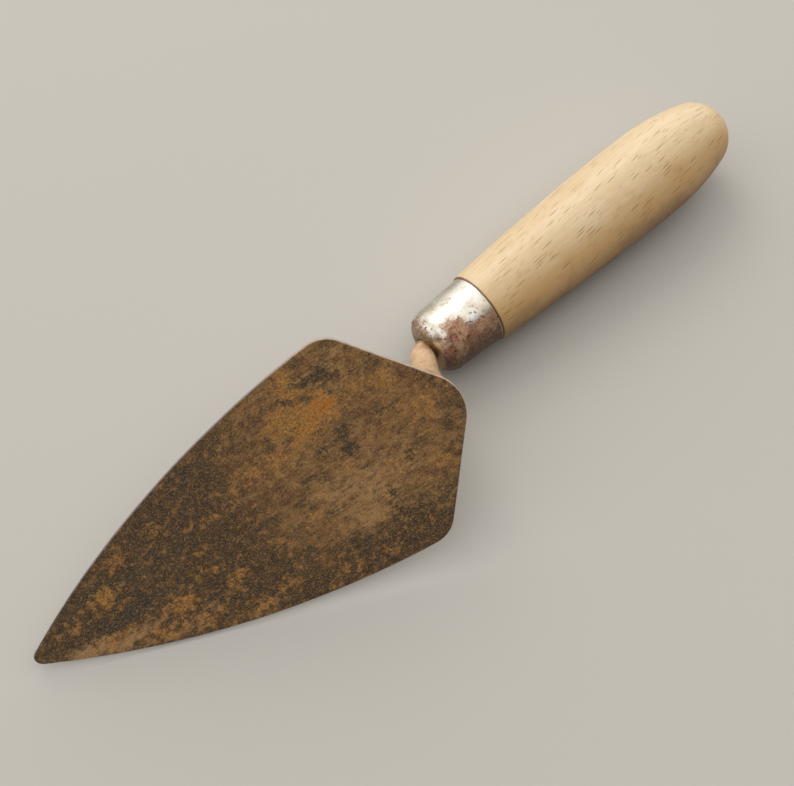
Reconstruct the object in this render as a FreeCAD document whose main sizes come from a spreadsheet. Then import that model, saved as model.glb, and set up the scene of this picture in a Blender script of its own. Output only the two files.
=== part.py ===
import FreeCAD, Part
import math
import os
import re
import Sketcher
from FreeCAD import Placement, Rotation, Vector

# A cranked-neck hand trowel with a kite-shaped steel blade, lying on a floor
# with the blade's working face up.
#
# Tool frame, used by every sketch: origin on the handle's axis at the joint
# between wood and ferrule, +X along the axis towards the blade's tip, +Z
# towards the blade's working face, +Y across.  At the end one common pose
# lays all the pieces on the floor.

DIMENSIONS = [
    # alias, value (mm or degrees), what it is
    ("handle_length", 110.7, "wood seen behind the ferrule"),
    ("joint_radius", 12.45, "wood at the ferrule"),
    ("belly_radius", 15.6, "thickest part of the handle"),
    ("belly_distance", 77.0, "from the joint to the thickest part"),
    ("tail_sweep", 88.0, "radius of the curve from the belly to the butt"),
    ("ferrule_length", 22.2, "joint to the front of the nose"),
    ("ferrule_radius", 11.9, "outside of the ferrule"),
    ("ferrule_taper", 2.5, "how much the ferrule's side closes in, degrees"),
    ("ferrule_wall", 1.0, "sheet the ferrule is drawn from"),
    ("nose_round", 6.0, "radius of the ferrule's round nose"),
    ("neck_radius", 3.95, "half the neck's width where it leaves the ferrule"),
    ("neck_oval", 0.05, "how much deeper than wide half the neck is"),
    ("neck_bend", 4.8, "centre-line radius of the crank"),
    ("foot_length", 18.0, "neck's foot, along the blade"),
    ("foot_width", 16.0, "neck's foot, across the blade"),
    ("foot_position", 12.9, "heel corner to the middle of the foot"),
    ("tang_length", 78.0, "tang inside the wood, from the joint"),
    ("tang_root", 5.5, "side of the square tang at the neck"),
    ("tang_end", 2.4, "side of the square tang at its end"),
    ("blade_length", 149.6, "heel corner to tip"),
    ("blade_width", 74.8, "across the shoulders"),
    ("shoulder_distance", 27.4, "heel corner to the shoulders, along the blade"),
    ("left_bulge", 7.8, "bow of the long side at +Y"),
    ("right_bulge", 6.9, "bow of the long side at -Y, the more worn one"),
    ("blade_thickness", 1.8, "plate thickness"),
    ("heel_radius", 13.5, "rounding of the heel corner"),
    ("shoulder_radius", 9.0, "rounding of each shoulder"),
    ("tip_radius", 2.5, "rounding of the tip"),
    ("heel_forward", 30.1, "joint to the heel corner, along the axis"),
    ("heel_height", 41.6, "axis to the heel corner of the working face"),
    ("blade_slope", 16.1, "fall of the blade towards the axis, degrees"),
    ("rest_roll", 42.0, "turn about the handle's axis when lying down, degrees"),
    ("rest_pitch", 2.89, "lift of the butt end when lying down, degrees"),
]
SHEET = "Dimensions"

doc = FreeCAD.newDocument("hand_trowel")
sheet = doc.addObject("Spreadsheet::Sheet", SHEET)
for row, (alias, value, meaning) in enumerate(DIMENSIONS, start=1):
    sheet.set(f"A{row}", meaning)
    sheet.set(f"B{row}", str(value))
    sheet.setAlias(f"B{row}", alias)
doc.recompute()


# ---------------------------------------------------------------- helpers

def size(alias):
    """Value of a sheet cell."""
    return float(sheet.get(alias))


def bound(formula):
    """A formula of bare aliases as an expression on the sheet's cells."""
    for alias, _value, _meaning in DIMENSIONS:
        formula = re.sub(rf"\b{alias}\b", f"<<{SHEET}>>.{alias}", formula)
    return formula


def new_body(label):
    body = doc.addObject("PartDesign::Body", label)
    body.Label = label
    return body


def new_sketch(body, name, role):
    """An empty sketch on the body's own XY_Plane, XZ_Plane or YZ_Plane."""
    plane = next(f for f in body.Origin.OriginFeatures if f.Role == role)
    sketch = body.newObject("Sketcher::SketchObject", name)
    sketch.AttachmentSupport = (plane, [""])
    sketch.MapMode = "FlatFace"
    return sketch


def end_on(sketch, edge, corner):
    """Which end of the edge, 1 or 2, lies on the corner."""
    gaps = [sketch.getPoint(edge, end).distanceToPoint(corner) for end in (1, 2)]
    return 1 + gaps.index(min(gaps))


def draw_profile(sketch, corners, arcs, smooth=()):
    """A closed outline: straight edges, and an arc where arcs gives a mid-point.

    smooth names the corners where two edges run into each other.  Returns the
    edge that starts at each corner.
    """
    count = len(corners)
    edges = []
    for index, start in enumerate(corners):
        end = corners[(index + 1) % count]
        if index in arcs:
            geometry = Part.Arc(start, arcs[index], end)
        else:
            geometry = Part.LineSegment(start, end)
        edges.append(sketch.addGeometry(geometry, False))
    for index, corner in enumerate(corners):
        before, after = edges[index - 1], edges[index]
        ends = (before, end_on(sketch, before, corner), after, end_on(sketch, after, corner))
        kind = "Tangent" if index in smooth else "Coincident"
        sketch.addConstraint(Sketcher.Constraint(kind, *ends))
    return edges


def drive(sketch, constraint, formula):
    """Adds a dimension and binds it to the sheet."""
    index = sketch.addConstraint(constraint)
    sketch.setExpression(f"Constraints[{index}]", bound(formula))


def pin(sketch, edge, corner, across=None, up=None):
    """Fixes a corner's distances from the sketch's axes; 0 puts it on the axis."""
    end = end_on(sketch, edge, corner)
    for kind, axis, value, formula in (
        ("DistanceX", -2, corner.x, across),
        ("DistanceY", -1, corner.y, up),
    ):
        if formula == "0":
            sketch.addConstraint(Sketcher.Constraint("PointOnObject", edge, end, axis))
        elif formula and value > 0:
            drive(sketch, Sketcher.Constraint(kind, -1, 1, edge, end, value), formula)
        elif formula:
            drive(sketch, Sketcher.Constraint(kind, edge, end, -1, 1, -value), formula)


def drive_taper(sketch, edge):
    """Slopes an edge of the ferrule's side, or of the spigot's, by the taper."""
    line = sketch.Geometry[edge]
    taper = size("ferrule_taper")
    forward = line.EndPoint.x > line.StartPoint.x
    slope = Sketcher.Constraint("Angle", edge, math.radians(-taper if forward else 180 - taper))
    drive(sketch, slope, "-ferrule_taper" if forward else "180 - ferrule_taper")


def revolve(body, sketch, name):
    """A full turn of the profile about the tool's X axis."""
    feature = body.newObject("PartDesign::Revolution", name)
    feature.Profile = sketch
    feature.ReferenceAxis = (sketch, ["H_Axis"])
    feature.Angle = 360.0
    sketch.Visibility = False
    return feature


def square_sketch(body, name, station, side, formula):
    """A square across the handle's axis, station mm in front of the joint."""
    sketch = new_sketch(body, name, "YZ_Plane")
    sketch.AttachmentOffset = Placement(Vector(0, 0, station), Rotation())
    half = side / 2
    corners = [Vector(-half, -half), Vector(half, -half), Vector(half, half), Vector(-half, half)]
    edges = draw_profile(sketch, corners, {})
    for edge in edges[0::2]:
        sketch.addConstraint(Sketcher.Constraint("Horizontal", edge))
    for edge in edges[1::2]:
        sketch.addConstraint(Sketcher.Constraint("Vertical", edge))
    pin(sketch, edges[0], corners[0], across=f"({formula}) / 2", up=f"({formula}) / 2")
    drive(sketch, Sketcher.Constraint("DistanceX", edges[0], 1, edges[0], 2, side), formula)
    drive(sketch, Sketcher.Constraint("DistanceY", edges[1], 1, edges[1], 2, side), formula)
    return sketch


def tang_sketches(body):
    """The two ends of the square, tapered tang: at the neck and in the wood."""
    front = size("ferrule_length") - size("ferrule_wall")
    root = square_sketch(body, body.Label + "_tang_root", front, size("tang_root"), "tang_root")
    root.setExpression("AttachmentOffset.Base.z", bound("ferrule_length - ferrule_wall"))
    end = square_sketch(body, body.Label + "_tang_end", -size("tang_length"), size("tang_end"), "tang_end")
    end.setExpression("AttachmentOffset.Base.z", bound("-tang_length"))
    return root, end


def tapered_nose(front, side, radius):
    """A tapering side's round nose as three points: on the front, half-way, on the side.

    side is the radius of the tapering side at the joint, front is where the
    flat front lies, radius is the nose's own.
    """
    taper = math.radians(size("ferrule_taper"))
    back = front - radius
    centre = Vector(back, side - back * math.tan(taper) - radius / math.cos(taper))
    whole = math.pi / 2 - taper
    return [
        centre + Vector(math.cos(angle), math.sin(angle)) * radius
        for angle in (0, whole / 2, whole)
    ]


# ----------------------------------------------------------------- handle

def make_handle():
    """Turned wooden grip: long belly, round butt and a spigot for the ferrule."""
    body = new_body("handle")
    sketch = new_sketch(body, "handle_profile", "XZ_Plane")

    spigot_front = size("ferrule_length") - size("ferrule_wall")
    spigot_radius = size("ferrule_radius") - size("ferrule_wall")
    nose = size("nose_round") - size("ferrule_wall")
    joint = size("joint_radius")
    rise = size("belly_radius") - joint
    belly_x = -size("belly_distance")
    sweep = (belly_x ** 2 + rise ** 2) / (2 * rise)
    belly_centre = Vector(belly_x, size("belly_radius") - sweep)

    # The tail's arc leaves the belly's crest level, and the round crown of the
    # butt, centred on the axis, is tangent to it.
    crest = Vector(belly_x, size("belly_radius"))
    tail = size("tail_sweep")
    tail_centre = crest - Vector(0, tail)
    reach = size("handle_length") - tail
    crown_x = (tail_centre.Length ** 2 - reach ** 2) / (2 * (reach + tail_centre.x))
    crown_centre = Vector(crown_x, 0)
    crown_radius = crown_x + size("handle_length")
    crown_start = crown_centre + (crown_centre - tail_centre).normalize() * crown_radius

    def on_circle(centre, radius, towards):
        return centre + (towards - centre).normalize() * radius

    nose_start, nose_middle, nose_end = tapered_nose(spigot_front, spigot_radius, nose)
    corners = [
        Vector(spigot_front, 0),
        nose_start,
        nose_end,
        Vector(0, spigot_radius),
        Vector(0, joint),
        crest,
        crown_start,
        Vector(-size("handle_length"), 0),
    ]
    arcs = {
        1: nose_middle,
        4: on_circle(belly_centre, sweep, Vector(belly_x / 2, joint)),
        5: on_circle(tail_centre, tail, (crest + crown_start) / 2),
        6: on_circle(crown_centre, crown_radius, crown_start - Vector(0, crown_start.y / 2)),
    }
    edges = draw_profile(sketch, corners, arcs, smooth=(1, 2, 5, 6))
    pin(sketch, edges[0], corners[0], across="ferrule_length - ferrule_wall", up="0")
    sketch.addConstraint(Sketcher.Constraint("Vertical", edges[0]))
    drive(sketch, Sketcher.Constraint("Radius", edges[1], nose), "nose_round - ferrule_wall")
    drive_taper(sketch, edges[2])
    pin(sketch, edges[2], corners[3], across="0", up="ferrule_radius - ferrule_wall")
    pin(sketch, edges[4], corners[4], across="0", up="joint_radius")
    pin(sketch, edges[5], crest, across="belly_distance", up="belly_radius")
    drive(
        sketch,
        Sketcher.Constraint("Radius", edges[4], sweep),
        "(belly_distance^2 + (belly_radius - joint_radius)^2) / (2 * (belly_radius - joint_radius))",
    )
    drive(sketch, Sketcher.Constraint("Radius", edges[5], tail), "tail_sweep")
    sketch.addConstraint(Sketcher.Constraint("PointOnObject", edges[6], 3, -1))
    pin(sketch, edges[7], corners[7], across="handle_length", up="0")
    revolve(body, sketch, "turned_wood")

    root, end = tang_sketches(body)
    hole = body.newObject("PartDesign::SubtractiveLoft", "tang_hole")
    hole.Profile = root
    hole.Sections = [end]
    hole.Ruled = True
    return body


# ---------------------------------------------------------------- ferrule

def make_ferrule():
    """Drawn steel cap over the spigot, closed by a round nose around the neck."""
    body = new_body("ferrule")
    sketch = new_sketch(body, "ferrule_profile", "XZ_Plane")
    length = size("ferrule_length")
    outer = size("ferrule_radius")
    wall = size("ferrule_wall")
    nose = size("nose_round")
    hole = size("neck_radius") + size("neck_oval")
    outside = tapered_nose(length, outer, nose)
    inside = tapered_nose(length - wall, outer - wall, nose - wall)
    corners = [
        Vector(0, outer),
        outside[2],
        outside[0],
        Vector(length, hole),
        Vector(length - wall, hole),
        inside[0],
        inside[2],
        Vector(0, outer - wall),
    ]
    arcs = {1: outside[1], 5: inside[1]}
    edges = draw_profile(sketch, corners, arcs, smooth=(1, 2, 5, 6))
    pin(sketch, edges[0], corners[0], across="0", up="ferrule_radius")
    drive_taper(sketch, edges[0])
    drive(sketch, Sketcher.Constraint("Radius", edges[1], nose), "nose_round")
    sketch.addConstraint(Sketcher.Constraint("Vertical", edges[2]))
    pin(sketch, edges[3], corners[3], across="ferrule_length", up="neck_radius + neck_oval")
    pin(
        sketch,
        edges[4],
        corners[4],
        across="ferrule_length - ferrule_wall",
        up="neck_radius + neck_oval",
    )
    sketch.addConstraint(Sketcher.Constraint("Vertical", edges[4]))
    drive(sketch, Sketcher.Constraint("Radius", edges[5], nose - wall), "nose_round - ferrule_wall")
    drive_taper(sketch, edges[6])
    pin(sketch, edges[7], corners[7], across="0", up="ferrule_radius - ferrule_wall")
    revolve(body, sketch, "drawn_cap")
    return body


# ------------------------------------------------------------------ shank

BEND_STEPS = 3
RISE_STEPS = 8
FLARE_POWER = 2.5


def neck_stations():
    """Stations along the neck: (place, slope in degrees, share of the flare).

    Straight out of the ferrule, round the crank, then straight to the middle
    of the foot, which lies on the blade's back.
    """
    slope = math.radians(size("blade_slope"))
    along = Vector(math.cos(slope), 0, -math.sin(slope))
    face = Vector(math.sin(slope), 0, math.cos(slope))
    foot = Vector(size("heel_forward"), 0, size("heel_height"))
    foot += along * size("foot_position") - face * size("blade_thickness")

    nose = Vector(size("ferrule_length"), 0, 0)
    bend = size("neck_bend")
    pivot = nose + Vector(0, 0, bend)
    reach = foot - pivot
    turn = math.atan2(reach.z, reach.x) + math.asin(bend / reach.Length)
    steep = math.degrees(turn)

    stations = [(nose - Vector(size("ferrule_wall"), 0, 0), 0.0, 0.0)]
    for step in range(BEND_STEPS + 1):
        angle = turn * step / BEND_STEPS
        place = pivot + Vector(math.sin(angle), 0, -math.cos(angle)) * bend
        stations.append((place, math.degrees(angle), 0.0))
    top_of_bend = stations[-1][0]
    for step in range(1, RISE_STEPS + 1):
        share = step / RISE_STEPS
        place = top_of_bend + (foot - top_of_bend) * share
        tilt = steep + (90.0 - size("blade_slope") - steep) * share
        stations.append((place, tilt, share))
    return stations


def oval_sketch(body, name, place, slope, flare):
    """An oval across the neck: its long axis in the XZ plane, its short one along Y.

    flare runs from 0, the neck's own size, to 1, the size of its foot.
    """
    half_deep = size("neck_radius") + size("neck_oval")
    half_deep += (size("foot_length") / 2 - half_deep) * flare
    half_wide = size("neck_radius")
    half_wide += (size("foot_width") / 2 - half_wide) * flare
    deep = "neck_radius + neck_oval"
    wide = "neck_radius"

    sketch = new_sketch(body, name, "YZ_Plane")
    tilt = Rotation(Vector(1, 0, 0), -slope)
    sketch.AttachmentOffset = Placement(Vector(place.y, place.z, place.x), tilt)
    oval = Part.Ellipse(Vector(0, half_deep), Vector(half_wide, 0), Vector(0, 0))
    edge = sketch.addGeometry(oval, False)
    sketch.addConstraint(Sketcher.Constraint("Coincident", edge, 3, -1, 1))
    sketch.exposeInternalGeometry(edge)
    deep_line, wide_line = edge + 1, edge + 2
    sketch.addConstraint(Sketcher.Constraint("Vertical", deep_line))
    drive(
        sketch,
        Sketcher.Constraint("Distance", deep_line, 2 * half_deep),
        f"2 * ({deep} + (foot_length / 2 - ({deep})) * {flare:.6f})",
    )
    drive(
        sketch,
        Sketcher.Constraint("Distance", wide_line, 2 * half_wide),
        f"2 * ({wide} + (foot_width / 2 - {wide}) * {flare:.6f})",
    )
    return sketch


def make_shank():
    """Forged in one: foot on the blade's back, cranked neck, square tapered tang."""
    body = new_body("shank")
    sections = []
    for number, (place, slope, share) in enumerate(neck_stations(), start=1):
        name = f"neck_section_{number}"
        sections.append(oval_sketch(body, name, place, slope, share ** FLARE_POWER))
    neck = body.newObject("PartDesign::AdditiveLoft", "neck")
    neck.Profile = sections[0]
    neck.Sections = sections[1:]
    neck.Ruled = False
    doc.recompute()

    root, end = tang_sketches(body)
    tang = body.newObject("PartDesign::AdditiveLoft", "tang")
    tang.Profile = root
    tang.Sections = [end]
    tang.Ruled = True
    return body


# ------------------------------------------------------------------ blade

def make_blade():
    """Flat kite-shaped plate; its working face is its sketch plane."""
    body = new_body("blade")
    sketch = new_sketch(body, "blade_outline", "XY_Plane")
    half = size("blade_width") / 2
    shoulder_x = size("shoulder_distance")
    heel = Vector(0, 0)
    left = Vector(shoulder_x, half)
    right = Vector(shoulder_x, -half)
    tip = Vector(size("blade_length"), 0)
    out_left = Vector(left.y - tip.y, tip.x - left.x).normalize()
    out_right = Vector(out_left.x, -out_left.y)
    corners = [heel, right, tip, left]
    arcs = {
        1: (right + tip) / 2 + out_right * size("right_bulge"),
        2: (tip + left) / 2 + out_left * size("left_bulge"),
    }
    edges = draw_profile(sketch, corners, arcs)
    sketch.addConstraint(Sketcher.Constraint("Coincident", edges[0], end_on(sketch, edges[0], heel), -1, 1))
    pin(sketch, edges[1], right, across="shoulder_distance", up="blade_width / 2")
    pin(sketch, edges[3], left, across="shoulder_distance", up="blade_width / 2")
    pin(sketch, edges[1], tip, across="blade_length", up="0")
    chord = "((blade_length - shoulder_distance)^2 + (blade_width / 2)^2)"
    for edge, alias in ((edges[1], "right_bulge"), (edges[2], "left_bulge")):
        bulge = size(alias)
        radius = ((tip - left).Length ** 2 / 4 + bulge ** 2) / (2 * bulge)
        formula = f"({chord} / 4 + {alias}^2) / (2 * {alias})"
        drive(sketch, Sketcher.Constraint("Radius", edge, radius), formula)

    plate = body.newObject("PartDesign::Pad", "plate")
    plate.Profile = sketch
    plate.Length = size("blade_thickness")
    plate.setExpression("Length", bound("blade_thickness"))
    plate.Reversed = True
    doc.recompute()

    last = plate
    for name, places, alias in (
        ("round_heel", [heel], "heel_radius"),
        ("round_shoulders", [left, right], "shoulder_radius"),
        ("round_tip", [tip], "tip_radius"),
    ):
        upright = []
        for number, edge in enumerate(last.Shape.Edges, start=1):
            middle = edge.BoundBox.Center
            flat = Vector(middle.x, middle.y, 0)
            if edge.BoundBox.ZLength > 1 and any(flat.distanceToPoint(p) < 0.1 for p in places):
                upright.append(f"Edge{number}")
        rounding = body.newObject("PartDesign::Fillet", name)
        rounding.Base = (last, upright)
        rounding.Radius = size(alias)
        rounding.setExpression("Radius", bound(alias))
        doc.recompute()
        last = rounding
    return body


# ------------------------------------------------- assembly and rest pose

blade = make_blade()
shank = make_shank()
ferrule = make_ferrule()
handle = make_handle()
doc.recompute()
bodies = [blade, shank, ferrule, handle]

roll = Rotation(Vector(1, 0, 0), -size("rest_roll"))
pitch = Rotation(Vector(0, 1, 0), size("rest_pitch"))
lying = Placement(Vector(), pitch * roll)
blade_seat = Placement(
    Vector(size("heel_forward"), 0, size("heel_height")),
    Rotation(Vector(0, 1, 0), size("blade_slope")),
)
seats = {body.Label: Placement() for body in bodies}
seats["blade"] = blade_seat

for body in bodies:
    body.Placement = lying * seats[body.Label]
doc.recompute()
box = FreeCAD.BoundBox()
for body in bodies:
    box.add(body.Shape.optimalBoundingBox(False, False))
floor_centre = Vector(box.Center.x, box.Center.y, box.ZMin)
for body in bodies:
    body.Placement = Placement(-floor_centre, Rotation()) * lying * seats[body.Label]
doc.recompute()

for item in doc.Objects:
    for word in ("Invalid", "Error"):
        if word in item.State:
            raise RuntimeError(f"{item.Label} is {item.State}")
os.makedirs("parts", exist_ok=True)
for body in bodies:
    if body.Shape.isNull() or not body.Shape.isValid() or len(body.Shape.Solids) != 1:
        raise RuntimeError(f"{body.Label} has no valid single solid")
    body.Shape.exportStep(f"parts/{body.Label}.step")
    print(f"{body.Label}: {body.Shape.Volume / 1000:.2f} cm3")
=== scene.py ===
import math

import bmesh
import bpy
import numpy as np
from mathutils import Matrix, Vector, noise


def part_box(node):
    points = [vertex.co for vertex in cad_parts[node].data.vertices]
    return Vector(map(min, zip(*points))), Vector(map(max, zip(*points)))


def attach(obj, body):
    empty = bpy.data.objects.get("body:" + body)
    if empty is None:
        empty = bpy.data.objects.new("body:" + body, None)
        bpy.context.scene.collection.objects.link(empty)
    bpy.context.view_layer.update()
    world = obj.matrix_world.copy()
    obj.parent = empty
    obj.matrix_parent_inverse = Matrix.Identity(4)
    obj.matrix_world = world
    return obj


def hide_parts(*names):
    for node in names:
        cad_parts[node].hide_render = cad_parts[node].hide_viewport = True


# A weathered pointing trowel lying on a floor.  Pieces are drawn in
# millimetres in the tool's own frame: origin on the handle's axis at the joint
# of wood and ferrule, +X towards the blade's tip, +Z towards its working face.
# One matrix then lays them where the CAD model lies.

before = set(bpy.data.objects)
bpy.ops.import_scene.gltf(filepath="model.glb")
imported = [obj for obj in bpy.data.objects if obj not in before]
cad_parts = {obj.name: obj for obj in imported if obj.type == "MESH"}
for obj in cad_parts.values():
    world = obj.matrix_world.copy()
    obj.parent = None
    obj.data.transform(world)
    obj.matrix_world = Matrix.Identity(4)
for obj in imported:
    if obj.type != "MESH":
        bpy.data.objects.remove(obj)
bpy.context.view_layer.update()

MM = 0.001

# ------------------------------------------------------------- dimensions, mm

HANDLE_LENGTH = 110.7
JOINT_RADIUS = 12.45
BELLY_RADIUS = 15.6
BELLY_DISTANCE = 77.0
TAIL_SWEEP = 88.0
FERRULE_LENGTH = 22.2
FERRULE_RADIUS = 11.9
FERRULE_TAPER = math.radians(2.5)
WALL = 1.0
NOSE_ROUND = 6.0
NECK_RADIUS = 3.95
NECK_DEEP = 4.0
NECK_BEND = 4.8
FOOT_LENGTH = 18.0
FOOT_WIDTH = 16.0
FOOT_POSITION = 12.9
FLARE_POWER = 2.5
TANG_LENGTH = 78.0
TANG_ROOT = 5.5
TANG_END = 2.4
BLADE_LENGTH = 149.6
BLADE_WIDTH = 74.8
SHOULDER_DISTANCE = 27.4
LEFT_BULGE = 7.8
RIGHT_BULGE = 6.9
BLADE_THICKNESS = 1.8
HEEL_RADIUS = 13.5
SHOULDER_RADIUS = 9.0
TIP_RADIUS = 2.5
HEEL_FORWARD = 30.1
HEEL_HEIGHT = 41.6
BLADE_SLOPE = math.radians(16.1)
REST_ROLL = math.radians(42.0)
REST_PITCH = math.radians(2.89)

# The wood's arris at the joint, as (x, depth under the joint's radius), and
# where the belly's arc starts behind it.
ARRIS = ((0.0, 0.28), (-0.08, 0.1), (-0.3, 0.0))
BELLY_START = -1.2
# The spigot's points between its nose and the joint.
SPIGOT_MIDDLE = 4.0
SPIGOT_BACK = 0.02


def tapered_nose(front, side, radius):
    """Centre and angle span of the round nose that ends a tapering side."""
    back = front - radius
    height = side - back * math.tan(FERRULE_TAPER) - radius / math.cos(FERRULE_TAPER)
    return Vector((back, height)), math.pi / 2 - FERRULE_TAPER


def arc_points(centre, radius, start, stop, count):
    """Pairs on a circle in the plane, from one angle to another, ends included."""
    return [
        (centre.x + radius * math.cos(a), centre.y + radius * math.sin(a))
        for a in np.linspace(start, stop, count)
    ]


def handle_profile(step):
    """Half outline (x, r) of the turned wood, from the spigot's front to the butt.

    Points on the grip's arcs are about step millimetres apart.
    """
    spigot_front = FERRULE_LENGTH - WALL
    spigot_radius = FERRULE_RADIUS - WALL
    centre, span = tapered_nose(spigot_front, spigot_radius, NOSE_ROUND - WALL)
    points = [(spigot_front, 0.0), (spigot_front, centre.y * 0.5)]
    points += arc_points(centre, NOSE_ROUND - WALL, 0, span, 6)
    points.append((SPIGOT_MIDDLE, spigot_radius - SPIGOT_MIDDLE * math.tan(FERRULE_TAPER)))
    points.append((SPIGOT_BACK, spigot_radius))

    rise = BELLY_RADIUS - JOINT_RADIUS
    sweep = (BELLY_DISTANCE ** 2 + rise ** 2) / (2 * rise)
    tail_centre = Vector((-BELLY_DISTANCE, BELLY_RADIUS - TAIL_SWEEP))
    reach = HANDLE_LENGTH - TAIL_SWEEP
    crown_x = (tail_centre.length_squared - reach ** 2) / (2 * (reach + tail_centre.x))
    crown_radius = crown_x + HANDLE_LENGTH
    crown = Vector((crown_x, 0))
    towards = (crown - tail_centre).normalized()
    points += [(x, JOINT_RADIUS - depth) for x, depth in ARRIS]
    for x in np.arange(BELLY_START, -BELLY_DISTANCE, -step):
        depth = sweep - math.sqrt(sweep ** 2 - (x + BELLY_DISTANCE) ** 2)
        points.append((x, BELLY_RADIUS - depth))
    tail_end = math.atan2(towards.y, towards.x)
    count = round(TAIL_SWEEP * (tail_end - math.pi / 2) / step)
    points += arc_points(tail_centre, TAIL_SWEEP, math.pi / 2, tail_end, count)[:-1]
    count = round(crown_radius * (math.pi - tail_end) / (0.8 * step))
    points += arc_points(crown, crown_radius, tail_end, math.pi, count)[:-1]
    points.append((-HANDLE_LENGTH, 0.0))
    return points


def ring(x, radius, count):
    """Points of a circle about the handle's axis."""
    return [
        Vector((x, radius * math.cos(a), radius * math.sin(a)))
        for a in np.linspace(0, 2 * math.pi, count, endpoint=False)
    ]


def lying_matrix():
    """Tool frame in millimetres to the row's frame in metres, seated on the CAD handle."""
    turn = Matrix.Rotation(REST_PITCH, 4, "Y") @ Matrix.Rotation(-REST_ROLL, 4, "X")
    scaled = turn @ Matrix.Scale(MM, 4)
    cloud = [scaled @ p for x, r in handle_profile(step=0.5) for p in ring(x, r, count=96)]
    low = Vector(min(p[i] for p in cloud) for i in range(3))
    high = Vector(max(p[i] for p in cloud) for i in range(3))
    cad_low, cad_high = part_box("handle")
    shift = (cad_low + cad_high - low - high) / 2
    return Matrix.Translation(shift) @ scaled


LYING = lying_matrix()
BLADE_SEAT = LYING @ Matrix.Translation((HEEL_FORWARD, 0, HEEL_HEIGHT)) @ Matrix.Rotation(
    BLADE_SLOPE, 4, "Y"
)


# --------------------------------------------------------------- mesh helpers

def rough(x, y, z, size, octaves=3):
    """Smooth noise, about -1 to 1, whose lumps are about size millimetres.

    Where z isn't the point's own, it only picks a pattern.
    """
    return noise.fractal(
        Vector((x, y, z)) / size, 1.0, 2.0, octaves, noise_basis="PERLIN_ORIGINAL"
    )


def make_piece(name, verts, faces, matrix, material, node, values=None):
    """A smooth-shaded mesh object that stands for a CAD node.

    Its vertices keep their place in the piece's own frame, in millimetres, for
    the material's patterns, and a number each for every mask in values.
    """
    mesh = bpy.data.meshes.new(name)
    mesh.from_pydata([Vector(v) for v in verts], [], faces)
    own = mesh.attributes.new("place", "FLOAT_VECTOR", "POINT")
    own.data.foreach_set("vector", np.array([tuple(v) for v in verts], np.float32).ravel())
    for key, numbers in (values or {}).items():
        layer = mesh.attributes.new(key, "FLOAT", "POINT")
        layer.data.foreach_set("value", np.asarray(numbers, np.float32))
    mesh.transform(matrix)
    shell = bmesh.new()
    shell.from_mesh(mesh)
    bmesh.ops.recalc_face_normals(shell, faces=shell.faces)
    shell.to_mesh(mesh)
    shell.free()
    mesh.polygons.foreach_set("use_smooth", [True] * len(mesh.polygons))
    mesh.materials.append(material)
    piece = bpy.data.objects.new(name, mesh)
    bpy.context.scene.collection.objects.link(piece)
    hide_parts(node)
    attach(piece, "root")
    return piece


def loft(rings, capped=True):
    """Vertices and faces of a skin over equal rings of points, with a fan over each end."""
    count = len(rings[0])
    verts = [p for r in rings for p in r]
    faces = []
    for row in range(len(rings) - 1):
        for k in range(count):
            a, b = row * count + k, row * count + (k + 1) % count
            faces.append((a, b, b + count, a + count))
    for row in (0, len(rings) - 1) if capped else ():
        verts.append(sum(rings[row], Vector((0, 0, 0))) / count)
        for k in range(count):
            a, b = row * count + k, row * count + (k + 1) % count
            faces.append((a, b, len(verts) - 1))
    return verts, faces


# ------------------------------------------------------------ shader helpers

def srgb(red, green, blue):
    """A colour given as 0-255 display values, as the linear one shaders use."""
    linear = [((c / 255 + 0.055) / 1.055) ** 2.4 if c > 10 else c / 255 / 12.92
              for c in (red, green, blue)]
    return (*linear, 1.0)


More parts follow.
